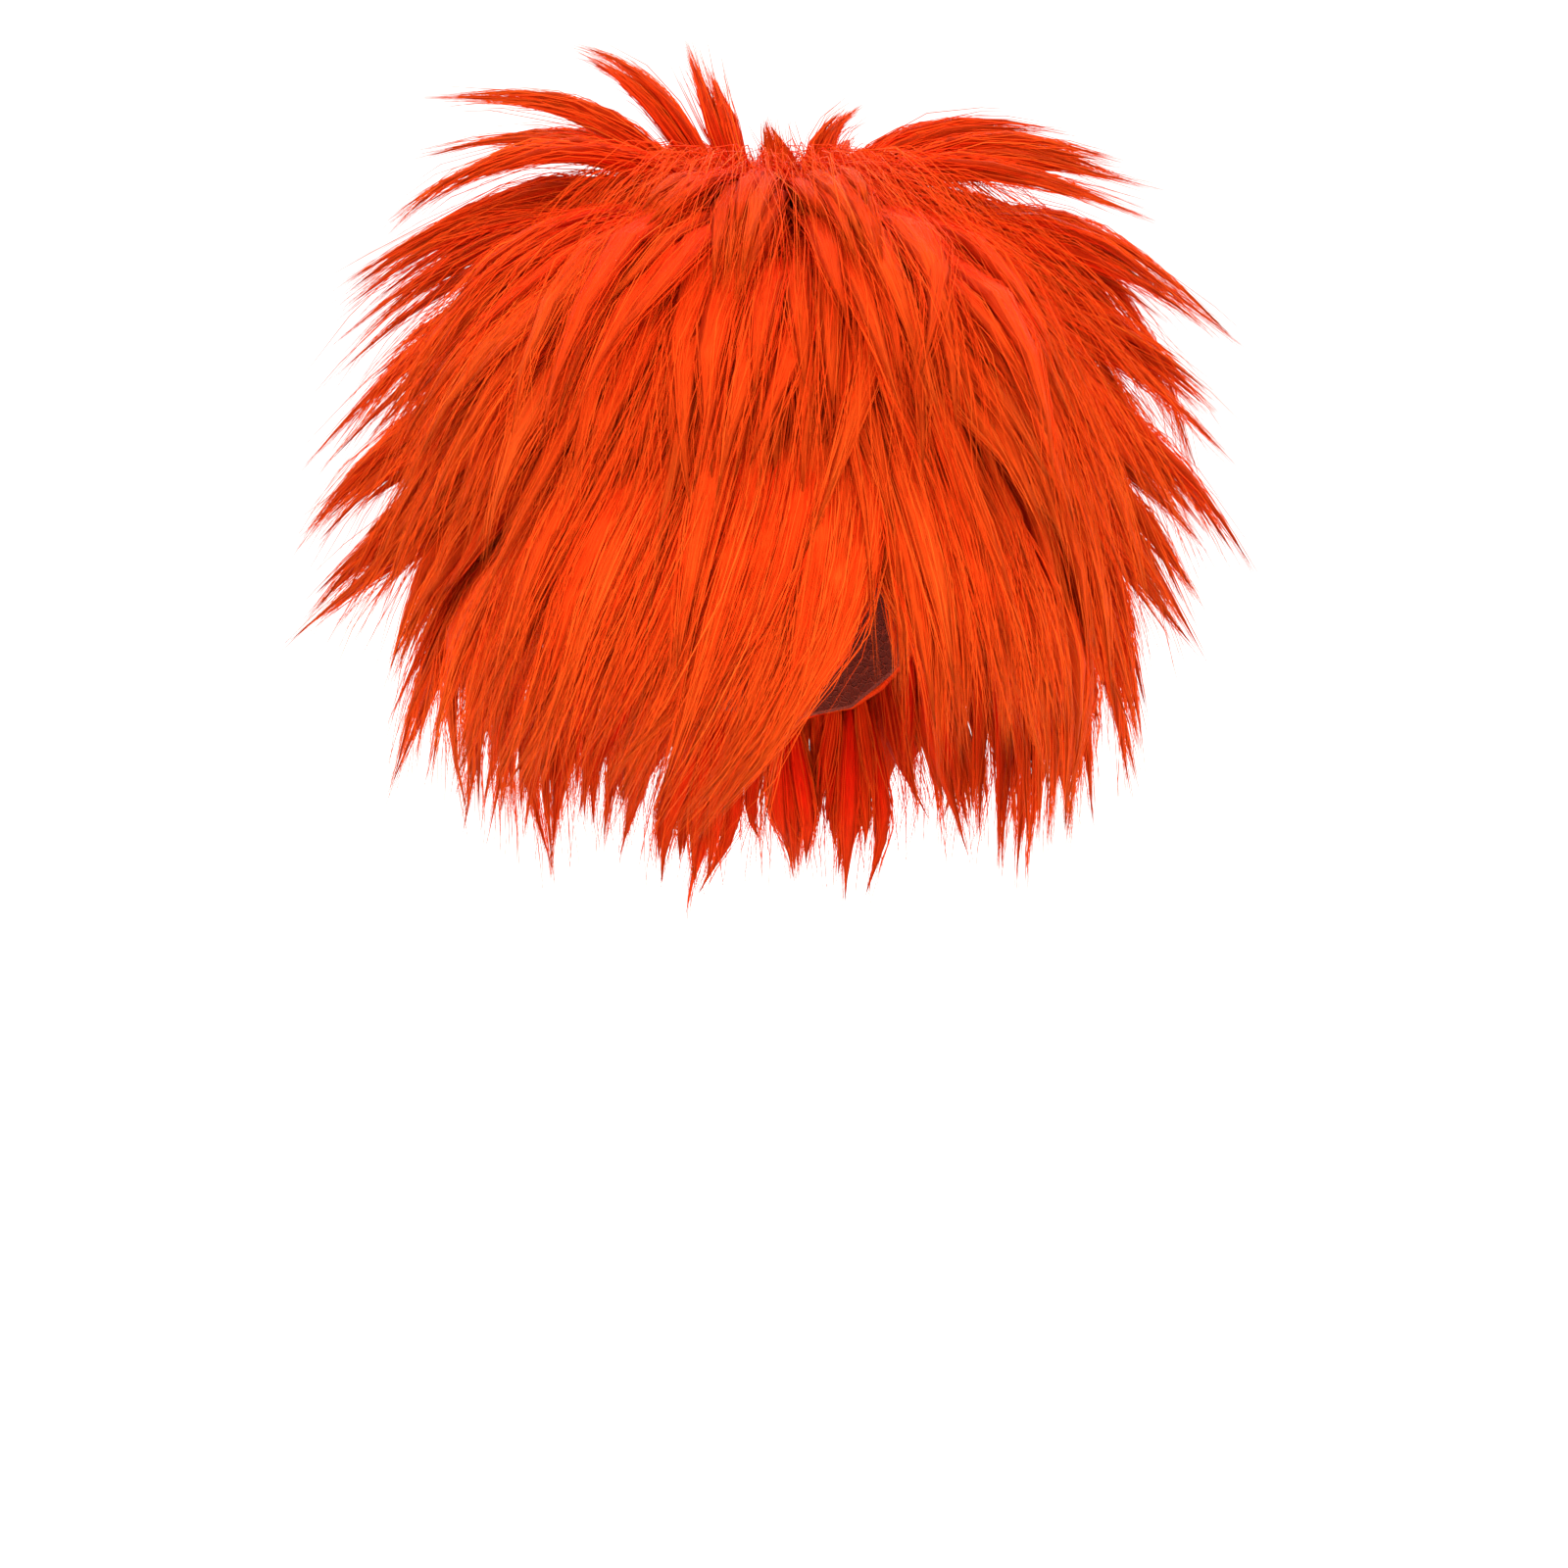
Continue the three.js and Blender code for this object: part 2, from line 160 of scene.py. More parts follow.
# Locks that fall over the back: the rows whose tips they end between, and their root
BACK_SWEEPS = [
    ("upper_weft", "middle_weft", 0.14),
    ("middle_weft", "ear_weft", 0.3),
    ("ear_weft", "lower_weft", 0.46),
]
BACK_FROM = 100  # azimuth from the face, on either side
BACK_OUT = 0.045
BACK_RISE = 0.05
BACK_FALL = 0.085

# Coats of hair on the cap between the rows: from and to, as shares of the way from the crown
# to the cap's edge, and the azimuths
COAT_STEP = 10
COAT_ROWS = 5
COAT_RAISED = (0.0026, 0.0052)
COATS = {
    "crown_tufts": (0.02, 0.26, -180, 180),
    "top_weft": (0.25, 0.43, -180, 180),
    "upper_weft": (0.41, 0.72, -180, 180),
    "middle_weft": (0.56, 0.74, 45, 315),
    "ear_weft": (0.7, 0.85, 60, 300),
    "lower_weft": (0.83, 0.96, 60, 300),
    "nape_weft": (0.94, 0.995, 85, 275),
}

# Hair colours and gloss
# The deep end is the fibres' darker random tone and also the painted shade that the sides and
# undersides of clumps and strands fall to
DEEP_COLOUR = (0.97, 0.007, 0.0010, 1)
MAIN_COLOUR = (0.97, 0.057, 0.0050, 1)
LIGHT_COLOUR = (0.97, 0.138, 0.0150, 1)
TIP_COLOUR = (0.97, 0.115, 0.0100, 1)
STREAK_STRENGTH = 0.8
STREAK_SCALE = (130, 3, 1)
TIPS_FROM = 0.3
TIPS_STRENGTH = 0.6
RIDGE_HEIGHT = 0.002
HAIR_ROUGHNESS = 0.55
HAIR_SPECULAR = 0.08
HAIR_SPECULAR_TINT = (1, 0.4, 0.2, 1)

# The cap's net
NET_GROUND = (0.20, 0.022, 0.008, 1)
NET_THREAD = (0.45, 0.045, 0.010, 1)
NET_SCALE = 420
NET_THREAD_WIDTH = 0.12
NET_THREAD_HEIGHT = 0.0005
NET_ROUGHNESS = 0.8

# The cap's edge, in degrees down from the crown, by azimuth from the face
EDGE_AZIMUTHS = (0, 35, 58, 75, 98, 125, 155, 180)
EDGE_DOWNS = (58, 62, 80, 96, 89, 106, 124, 128)

# A lock's outline along its length, as shares of its full width and thickness
SECTION_ALONG = (0, 0.24, 0.52, 0.78, 1)
SECTION_WIDTH = (0.4, 0.75, 1, 0.6, 0.03)
SECTION_THICKNESS = (0.25, 0.75, 1, 0.6, 0.06)

# Weft rows: name, root, from, to, spacing, width, lift, droop, then reach and drop at the
# front, right, back and left
WeftRow = namedtuple(
    "WeftRow", "name root start stop spacing width lift droop front right back left"
)
WEFT_ROWS = [
    WeftRow("top_weft", 0.27, -180, 150, 30, 1.08, 62, 28,
            (0.7, 0.34), (0.88, 0.15), (0.86, 0.1), (1, 0.2)),
    WeftRow("upper_weft", 0.43, -180, 157.5, 22.5, 1, 56, 24,
            (0.69, 0.42), (0.89, 0.29), (0.92, 0.25), (0.95, 0.32)),
    WeftRow("middle_weft", 0.58, 45, 315, 22.5, 1, 48, 20,
            (0.62, 0.42), (0.9, 0.48), (0.94, 0.42), (0.95, 0.45)),
    WeftRow("ear_weft", 0.71, 67.5, 292.5, 22.5, 0.96, 44, 14,
            (0.58, 0.72), (0.82, 0.6), (0.9, 0.6), (0.94, 0.57)),
    WeftRow("lower_weft", 0.84, 67.5, 292.5, 22.5, 0.88, 40, 14,
            (0.56, 0.76), (0.68, 0.81), (0.74, 0.8), (0.73, 0.79)),
    WeftRow("nape_weft", 0.95, 90, 270, 22.5, 0.7, 30, 6,
            (0.5, 0.85), (0.5, 0.88), (0.53, 0.97), (0.56, 0.9)),
]
CLOSED_ROWS = ("top_weft", "upper_weft")  # all the way round
STAGGER_REACH = 0.88
STAGGER_DROP = 0.05
BROW_LIFT = -14
BROW_DROOP = 22
BROW_SWEEP = -14

# Fringe locks: azimuth, root, across, out, drop, toward, width
FRINGE_LIFT = 26
FRINGE_TUCK = 0.15
FRINGES = {
    "fringe_left": [
        (14, 0.84, -0.21, 0.57, 0.79, -50, 0.9),
        (2, 0.92, -0.32, 0.58, 0.79, -35, 0.85),
        (-10, 0.84, -0.4, 0.58, 0.74, -25, 0.85),
        (-23, 0.92, -0.47, 0.55, 0.77, -18, 0.8),
        (-36, 0.84, -0.55, 0.5, 0.7, -15, 0.8),
        (-49, 0.9, -0.61, 0.42, 0.74, -12, 0.75),
    ],
    "fringe_right": [
        (25, 0.92, 0.31, 0.57, 0.72, 4, 0.8),
        (36, 0.84, 0.42, 0.55, 0.68, 12, 0.75),
        (48, 0.9, 0.52, 0.48, 0.7, 12, 0.7),
    ],
}

# Crown tufts: azimuth, root, across, back, rise, lift, tilt, width
CROWN_TUFTS = [
    (-60, 0.07, -0.2, 0.1, 1, 72, 62, 0.45),
    (-85, 0.09, -0.45, 0.05, 0.93, 68, 10, 0.7),
    (-75, 0.14, -0.69, 0.05, 0.68, 72, -4, 0.45),
    (-105, 0.14, -0.77, 0.14, 0.44, 70, -8, 0.7),
    (-62, 0.15, -0.765, -0.1, 0.02, 70, -50, 0.9),
    (-95, 0.15, -0.87, 0.02, -0.2, 62, -28, 0.8),
    (95, 0.09, 0.6, 0.05, 0.46, 80, -16, 0.6),
    (75, 0.14, 0.76, 0, 0.26, 74, -20, 0.8),
    (58, 0.15, 0.7, -0.14, 0.12, 70, -24, 0.8),
    (-35, 0.15, -0.28, -0.54, -0.2, 70, -60, 0.9),
    (-8, 0.15, -0.1, -0.61, -0.35, 70, -68, 0.9),
    (22, 0.15, 0.18, -0.6, -0.25, 70, -64, 0.9),
    (160, 0.06, -0.04, 0.1, 0.64, 84, 60, 0.6),
    (100, 0.06, 0.16, 0.08, 0.66, 80, 20, 0.7),
    (118, 0.1, 0.42, 0.5, 0.3, 72, -24, 0.8),
    (148, 0.1, 0.2, 0.66, 0.3, 72, -22, 0.8),
    (-178, 0.1, -0.04, 0.7, 0.2, 70, -26, 0.8),
    (-140, 0.1, -0.34, 0.6, 0.34, 72, -20, 0.8),
]

# Camera, at the photograph's angle
SENSOR_WIDTH = 36
CAMERA_DISTANCE = 1.5
CAMERA_ELEVATION = math.radians(6)
FRAME_SIDE = 0.584  # what the frame takes in at the wig
CAMERA_TARGET = Vector((0.001, 0, -0.195))

# Floor, bent up into a backdrop, and soft light
FLOOR_HEIGHT = -0.479
FLOOR_REACH = 6
FLOOR_COLOUR = (0.9, 0.9, 0.9, 1)
FLOOR_ROUGHNESS = 0.9
BACKDROP_NEAR = 1.2
BACKDROP_BEND = 1.6
BACKDROP_STEPS = 16
STUDIO_STRENGTH = 1.3

# Lights: name, place, size, power
LIGHTS = [
    ("key_light", (-0.8, -1.6, 0.35), 1.2, 9),
    ("fill_light", (1.0, -1.5, -0.1), 1.2, 8),
    ("back_light", (0.2, 1.5, 0.7), 1.2, 9),
    ("top_light", (0.0, 0.3, 1.6), 1.0, 9),
]


def edge_down(azimuth):
    """How far down the cap's edge lies at an azimuth, in degrees from the crown."""
    turned = abs((azimuth + 180) % 360 - 180)
    at = int(np.clip(np.searchsorted(EDGE_AZIMUTHS, turned) - 1, 0, len(EDGE_AZIMUTHS) - 2))
    share = (turned - EDGE_AZIMUTHS[at]) / (EDGE_AZIMUTHS[at + 1] - EDGE_AZIMUTHS[at])
    share = min(max(share, 0), 1)
    eased = share * share * (3 - 2 * share)
    return EDGE_DOWNS[at] + (EDGE_DOWNS[at + 1] - EDGE_DOWNS[at]) * eased


def on_head(azimuth, down, raised=0.0):
    """A place on the hollow, or raised over it."""
    a, d = math.radians(azimuth), math.radians(down)
    return np.array([
        (HEAD_HALF_WIDTH + raised) * math.sin(d) * math.sin(a),
        -(HEAD_HALF_DEPTH + raised) * math.sin(d) * math.cos(a),
        (HEAD_DOME_HEIGHT + raised) * math.cos(d) - HEAD_DOME_HEIGHT,
    ])


def unit(vector):
    return vector / np.linalg.norm(vector, axis=-1, keepdims=True)


def level_line(azimuth):
    a = math.radians(azimuth)
    return np.array([math.cos(a), math.sin(a), 0])


def make_lock(azimuth, root, tip, heading, lift, width):
    """A lock's four curve points, the level line across its root, its width and its length."""
    down = root * edge_down(azimuth)
    start = on_head(azimuth, down, ROOT_HEIGHT)
    along = unit(on_head(azimuth, down + 1, ROOT_HEIGHT) - start)
    off = unit(on_head(azimuth, down, ROOT_HEIGHT + 0.001) - start)
    leaving = along * math.cos(math.radians(lift)) + off * math.sin(math.radians(lift))
    length = np.linalg.norm(tip - start)
    first, last = leaving * ROOT_HOLD * length, heading * TIP_HOLD * length
    return {
        "points": np.array([start, start + first, tip - last, tip]),
        "level": level_line(azimuth),
        "width": LOCK_WIDTH * width,
        "length": length,
    }


def side_value(row, azimuth, column):
    """A row's reach or drop at an azimuth, eased between its four sides."""
    c, s = math.cos(math.radians(azimuth)), math.sin(math.radians(azimuth))
    ahead = row.front if c > 0 else row.back
    beside = row.right if s > 0 else row.left
    return ahead[column] * c * c + beside[column] * s * s


def uneven(index, step):
    return (index * step) % 1 - 0.5


def row_locks(row):
    """A weft row's locks, every other one shorter."""
    first = math.ceil((row.start + 90) / row.spacing)
    last = math.floor((row.stop + 90) / row.spacing)
    locks = []
    for index in range(first, last + 1):
        azimuth = index * row.spacing - 90
        brow = max(0, math.cos(math.radians(azimuth))) ** 2
        short = index % 2
        stretch = (1 - short * (1 - STAGGER_REACH)) * (1 + UNEVEN_REACH * uneven(index, UNEVEN_STEP))
        reach = SPIKE_REACH * side_value(row, azimuth, 0) * stretch
        drop = HAIR_DROP * (side_value(row, azimuth, 1) + short * STAGGER_DROP)
        sweep = UNEVEN_SWEEP * uneven(index + row.root, SWEEP_STEP) + BROW_SWEEP * brow
        a = math.radians(azimuth + sweep)
        outward = np.array([math.sin(a), -math.cos(a), 0])
        tip = outward * reach + np.array([0, 0, -drop])
        base = on_head(azimuth, row.root * edge_down(azimuth))
        chord = math.atan2(tip[2] - base[2], reach - math.hypot(base[0], base[1]))
        angle = chord - math.radians(row.droop + BROW_DROOP * brow)
        heading = outward * math.cos(angle) + np.array([0, 0, math.sin(angle)])
        lift = row.lift + BROW_LIFT * brow
        locks.append(make_lock(azimuth, row.root, tip, heading, lift, row.width))
    return locks


def blend_locks(one, two, part):
    return {key: one[key] * (1 - part) + two[key] * part for key in one}


def guide_at(row, locks, azimuth):
    """The course that a lock of this row would take at any azimuth between its own locks."""
    first = math.ceil((row.start + 90) / row.spacing) * row.spacing - 90
    at = (azimuth - first) / row.spacing
    low = int(math.floor(at))
    return blend_locks(locks[low % len(locks)], locks[(low + 1) % len(locks)], at - low)


def infill_locks(upper, lower, rows):
    """Locks that grow between two weft rows and fill the room between their tips."""
    start, stop = max(upper.start, lower.start), min(upper.stop, lower.stop)
    locks = []
    for step in range(int((stop - start) / lower.spacing)):
        azimuth = start + (step + 0.5) * lower.spacing
        one = guide_at(upper, rows[upper.name], azimuth)
        two = guide_at(lower, rows[lower.name], azimuth)
        lock = blend_locks(one, two, 0.5 + INFILL_UNEVEN * uneven(step, UNEVEN_STEP))
        lock["width"] *= INFILL_WIDTH
        locks.append(lock)
    return locks


def fringe_locks(table):
    """A fringe's locks, with their tips placed from the table."""
    locks = []
    for azimuth, root, across, out, drop, toward, width in table:
        tip = np.array([across * SPIKE_REACH, -out * SPIKE_REACH, -drop * HAIR_DROP])
        a = math.radians(toward)
        heading = unit(np.array([math.sin(a), FRINGE_TUCK, -math.cos(a)]))
        locks.append(make_lock(azimuth, root, tip, heading, FRINGE_LIFT, width))
    return locks


def crown_locks():
    """The loose tufts round the whorl."""
    locks = []
    for azimuth, root, across, back, rise, lift, tilt, width in CROWN_TUFTS:
        tip = np.array([across * SPIKE_REACH, back * SPIKE_REACH, rise * TUFT_RISE])
        away = unit(np.array([tip[0], tip[1], 0]))
        a = math.radians(tilt)
        heading = away * math.cos(a) + np.array([0, 0, math.sin(a)])
        locks.append(make_lock(azimuth, root, tip, heading, lift, width))
    return locks


def curve_frame(points, level, t):
    """Places, and the directions across and off the hair, at shares t of each curve."""
    p = points[:, None]
    t = t[..., None]
    s = 1 - t
    centre = s**3 * p[:, :, 0] + 3 * s * s * t * p[:, :, 1]
    centre = centre + 3 * s * t * t * p[:, :, 2] + t**3 * p[:, :, 3]
    ahead = s * s * (p[:, :, 1] - p[:, :, 0]) + 2 * s * t * (p[:, :, 2] - p[:, :, 1])
    ahead = unit(ahead + t * t * (p[:, :, 3] - p[:, :, 2]))
    level = level[:, None]
    side = unit(level - ahead * (ahead * level).sum(-1, keepdims=True))
    return centre, side, np.cross(ahead, side)


def spread_over(limits, shape, rng):
    """Random values spread evenly between two limits."""
    low, high = limits
    return low + (high - low) * rng.random(shape)


def disc_points(rng, count):
    """Points spread evenly over a unit disc, without bunching."""
    number = np.arange(count)
    radius = np.sqrt((number + 0.2 + 0.6 * rng.random(count)) / count)
    angle = number * GOLDEN_ANGLE + rng.random() * 6.3 + 0.5 * (rng.random(count) - 0.5)
    return radius[:, None] * np.stack([np.cos(angle), np.sin(angle)], 1)


def half_sections(width, tips_apart, t):
    """Half width and half thickness of a lock at shares t, kept open at the tip for its clumps."""
    wide = np.maximum(np.interp(t, SECTION_ALONG, SECTION_WIDTH), tips_apart * t)
    thick = np.maximum(np.interp(t, SECTION_ALONG, SECTION_THICKNESS), tips_apart * t)
    return width[:, None] / 2 * wide, LOCK_THICKNESS / 2 * thick


def make_clumps(locks, combing, rng):
    """Each lock's clumps: place in the lock's section, reach along it, bend and tone."""
    per_lock = combing.per_lock
    number = len(locks) * per_lock
    place = np.concatenate([disc_points(rng, per_lock) for lock in locks])
    out = np.linalg.norm(place, axis=1)
    length = np.repeat([lock["length"] for lock in locks], per_lock)
    return {
        "points": np.repeat([lock["points"] for lock in locks], per_lock, axis=0),
        "level": np.repeat([lock["level"] for lock in locks], per_lock, axis=0),
        "width": np.repeat([lock["width"] for lock in locks], per_lock),
        "place": place * combing.spread,
        "size": combing.size,
        "tips_apart": combing.tips_apart,
        "loose": combing.loose,
        "end": CLUMP_END - (0.3 + 0.7 * out) * combing.unequal * rng.random(number),
        "bend": rng.normal(0, combing.bend, (number, 2)) * length[:, None] * (1, BEND_OFF),
        "tone": np.clip(rng.normal(combing.tone, CLUMP_TONE_SPREAD, number), *CLUMP_TONES),
    }


def clump_line(clumps, of, s):
    """Line, directions and half size of the clumps numbered in of, at shares s of their reach."""
    t = s * clumps["end"][of, None]
    centre, side, off = curve_frame(clumps["points"][of], clumps["level"][of], t)
    wide, thick = half_sections(clumps["width"][of], clumps["tips_apart"], t)
    bend = clumps["bend"][of]
    x = clumps["place"][of, 0:1] * wide + bend[:, 0:1] * s**BEND_GROWTH
    z = clumps["place"][of, 1:2] * thick + bend[:, 1:2] * s**BEND_GROWTH
    return centre + side * x[..., None] + off * z[..., None], side, off, wide, thick, t


def clump_bodies(clumps, body_share, rng):
    """The clumps' slim bodies, closed at both ends in a point, that the strands lie over."""
    number = len(clumps["end"])
    s = np.broadcast_to(BODY_ALONG, (number, len(BODY_ALONG)))
    centre, side, off, wide, thick, t = clump_line(clumps, np.arange(number), s)
    share = clumps["size"] * np.array(body_share)
    angle = np.arange(BODY_SIDES + 1) * 2 * np.pi / BODY_SIDES
    # painted shade: the tone falls to a deeper red round each body's sides and underside
    tones = clumps["tone"][:, None] + BODY_PAINTED_SHADE / 2 * (np.sin(angle) - 1)
    angle = angle[:-1]
    rib = spread_over(BODY_RIBS, (number, 1, BODY_SIDES), rng)
    x = (np.maximum(wide, LEAST_HALF_WIDTH) * share)[..., None] * np.cos(angle) * rib
    z = (np.maximum(thick, LEAST_HALF_THICKNESS) * share)[..., None] * np.sin(angle) * rib
    rings = centre[:, :, None] + side[:, :, None] * x[..., None] + off[:, :, None] * z[..., None]
    return tube_parts(rings, centre[:, 0], centre[:, -1], np.clip(tones, *ALL_TONES), t)


def tube_parts(rings, first, last, tones, along):
    """Vertices, corners and map of closed tubes, whose first and last rings are points."""
    count, ring_count, sides = rings.shape[:3]
    verts = np.concatenate([first[:, None], rings[:, 1:-1].reshape(count, -1, 3), last[:, None]], 1)
    faces, places = [], []
    end = verts.shape[1] - 1
    for k in range(sides):
        n = (k + 1) % sides
        faces.append((0, 1 + n, 1 + k))
        places.append(((k + 0.5, 0), (k + 1, 1), (k, 1)))
        for r in range(ring_count - 3):
            a, b = 1 + r * sides + k, 1 + r * sides + n
            faces += [(a, b, b + sides), (a, b + sides, a + sides)]
            places.append(((k, r + 1), (k + 1, r + 1), (k + 1, r + 2)))
            places.append(((k, r + 1), (k + 1, r + 2), (k, r + 2)))
        r = ring_count - 2
        faces.append((end - sides + k, end - sides + n, end))
        places.append(((k, r), (k + 1, r), (k + 0.5, r + 1)))
    places = np.array(places, float).reshape(-1, 2)
    corners = (np.arange(count) * (end + 1))[:, None] + np.array(faces).ravel()
    column = np.minimum(places[:, 0].astype(int), sides - 1)
    u = tones[:, column] + (places[:, 0] - column) * (tones[:, column + 1] - tones[:, column])
    v = along[:, places[:, 1].astype(int)]
    return verts.reshape(-1, 3), corners.ravel(), np.stack([u, v], -1).reshape(-1, 2)


def strand_tubes(lines, side, off, tone, along, rng):
    """Thin three-sided tubes along the given lines, pointed at both ends."""
    count = len(lines)
    size = STRAND_RADIUS * spread_over(STRAND_SIZES, (count, 1, 1, 1), rng)
    size = size * STRAND_TAPER[:, None, None]
    turn = rng.random((count, 1, 1)) * 2
    angle = (turn + np.arange(STRAND_SIDES) * 2 * np.pi / STRAND_SIDES)[..., None]
    spoke = np.cos(angle) * side[:, :, None] + np.sin(angle) * off[:, :, None]
    tones = tone[:, None] + STRAND_TONES / STRAND_SIDES * np.arange(STRAND_SIDES + 1)
    return tube_parts(lines[:, :, None] + spoke * size, lines[:, 0], lines[:, -1], tones, along)


def strand_steps(count, rng):
    """Shares along a strand where its tube has a ring, set a little unevenly."""
    steps = np.arange(STRAND_STEPS + 1) + np.zeros((count, 1))
    steps[:, 1:-1] += STEP_SHIFT * (rng.random((count, STRAND_STEPS - 1)) - 0.5)
    return steps / STRAND_STEPS


def strays(size, count, rng):
    """How far strands stray across the hair and off it, within limits."""
    stray = np.clip(rng.normal(0, 1, (2, count, 1)), -MOST_STRAY, MOST_STRAY)
    return size * stray[0], OFF_STRAY * size * stray[1]


def clump_strands(clumps, count, rng):
    """Strands gathered round the clumps' lines, that close in towards each clump's tip."""
    of = rng.integers(0, len(clumps["end"]), count)
    loose = rng.random(count) < clumps["loose"]
    s = strand_steps(count, rng) * (1 - STRAND_SHORTER * rng.random((count, 1)) ** 2)
    centre, side, off, wide, thick, t = clump_line(clumps, of, s)
    angle = rng.random(count) * 2 * np.pi
    radius = spread_over(GATHER_ROUND, count, rng)
    close = np.interp(s, GATHER_ALONG, GATHER)
    close = np.where(loose[:, None], LOOSE_GATHER, close) * clumps["size"] * radius[:, None]
    farthest = np.where(loose, LOOSE_STRAY, CLOSE_STRAY)[:, None]
    across, away = strays(farthest * s**2, count, rng)
    x = np.cos(angle)[:, None] * close * np.maximum(wide, LEAST_HALF_WIDTH) + across
    z = np.sin(angle)[:, None] * close * np.maximum(thick, LEAST_HALF_THICKNESS) + away
    lines = centre + side * x[..., None] + off * z[..., None]
    # painted light and shade: lighter tone on the clump's upper side, deeper red underneath, then a
    # painted highlight that lifts all strands over the bodies; the spread is random
    tone = clumps["tone"][of] + PAINTED_LIGHT_AND_SHADE_ROUND_CLUMPS * np.sin(angle)
    tone = tone + rng.normal(STRAND_PAINTED_HIGHLIGHT, STRAND_TONE_SPREAD, count)
    return strand_tubes(lines, side, off, np.clip(tone, *ALL_TONES), t, rng)


def veil_strands(locks, closed, combing, count, rng):
    """Single strands laid over and between neighbouring locks, so that the locks run together."""
    one = rng.integers(0, len(locks) - (0 if closed else 1), count)
    two = (one + 1) % len(locks)
    part = rng.random(count)

    def between(key):
        values = np.array([lock[key] for lock in locks])
        return (values[one].T * (1 - part) + values[two].T * part).T

    end = spread_over(VEIL_END, (count, 1), rng)
    steps = strand_steps(count, rng)
    t = steps * end
    centre, side, off = curve_frame(between("points"), between("level"), t)
    wide, thick = half_sections(between("width"), combing.tips_apart, t)
    across, away = strays(VEIL_ROOT_STRAY + VEIL_TIP_STRAY * steps**2, count, rng)
    x = (rng.random((count, 1)) - 0.5) * wide + across
    z = spread_over(VEIL_HEIGHT, (count, 1), rng) * thick + away
    lines = centre + side * x[..., None] + off * z[..., None]
    # painted highlight lifts the tone, with a random spread round it
    tone = rng.normal(combing.tone + VEIL_PAINTED_HIGHLIGHT, VEIL_TONE_SPREAD, count)
    return strand_tubes(lines, side, off, np.clip(tone, *ALL_TONES), t, rng)


def whorl_strands(count, rng):
    """Strands that rise from the whorl, turn, and fall to all sides over the first rows."""
    azimuth = rng.random(count) * 2 * np.pi
    turned = azimuth + math.radians(WHORL_TURN) * (3 * rng.random(count) - 0.7)
    reach = spread_over(WHORL_REACH, count, rng)
    fall = spread_over(WHORL_FALL, count, rng)
    rise = WHORL_RISE * spread_over(WHORL_RISES, count, rng)

    def place(angle, out, up):
        return np.stack([out * np.sin(angle), -out * np.cos(angle), up], 1)

    root = WHORL_ROOT * np.sqrt(rng.random(count))
    points = np.stack([
        place(azimuth, root, np.full(count, ROOT_HEIGHT - WHORL_SUNK)),
        place(azimuth, root + 0.22 * reach, rise),
        place(turned, 0.62 * reach, rise * 1.1),
        place(turned, reach, -fall * reach / WHORL_REACH[1]),
    ], 1)
    level = np.stack([np.cos(azimuth), np.sin(azimuth), 0 * azimuth], 1)
    t = strand_steps(count, rng)
    lines, side, off = curve_frame(points, level, t)
    lines = lines + side * (rng.normal(0, WHORL_STRAY, (count, 1)) * t**2)[..., None]
    tone = rng.normal(WHORL_TONE, WHORL_TONE_SPREAD, count)
    return strand_tubes(lines, side, off, np.clip(tone, *ALL_TONES), t, rng)


def sweep_locks(table):
    """Locks that sweep from the crown over the brow to a fringe's tips, and halfway between."""
    ends = fringe_locks(table)
    tips = [lock["points"][3] for lock in ends]
    last = [lock["points"][2] for lock in ends]
    azimuths = [values[0] for values in table]
    locks = []
    for step in range(2 * len(ends) - 1):
        low, high = step // 2, (step + 1) // 2
        azimuth = (azimuths[low] + azimuths[high]) / 2
        tip = (tips[low] + tips[high]) / 2
        heading = unit(tip - (last[low] + last[high]) / 2)
        start = on_head(azimuth, SWEEP_ROOT * edge_down(azimuth), ROOT_HEIGHT)
        rise = start * (0.7, 1, 1) + np.array([0, -SWEEP_OUT, SWEEP_RISE])
        over = tip - heading * SWEEP_MIDDLE - np.array([0, SWEEP_FORWARD, 0])
        locks.append({
            "points": np.array([start, rise, over, tip]),
            "level": level_line(azimuth),
            "width": LOCK_WIDTH * SWEEP_WIDTH,
            "length": np.linalg.norm(tip - start),
        })
    return locks


def back_locks(locks, root):
    """Locks that rise near the whorl and fall over the back to the given locks' tips."""
    made = []
    for lock in locks:
        tip = lock["points"][3]
        azimuth = math.degrees(math.atan2(tip[0], -tip[1])) % 360
        if abs(azimuth - 180) > 180 - BACK_FROM:
            continue
        start = on_head(azimuth, root * edge_down(azimuth), ROOT_HEIGHT)
        outward = unit(tip * (1, 1, 0))
        rise = start + outward * BACK_OUT + np.array([0, 0, BACK_RISE])
        over = tip + np.array([0, 0, BACK_FALL])
        made.append(lock | {"points": np.array([start, rise, over, tip])})
    return made


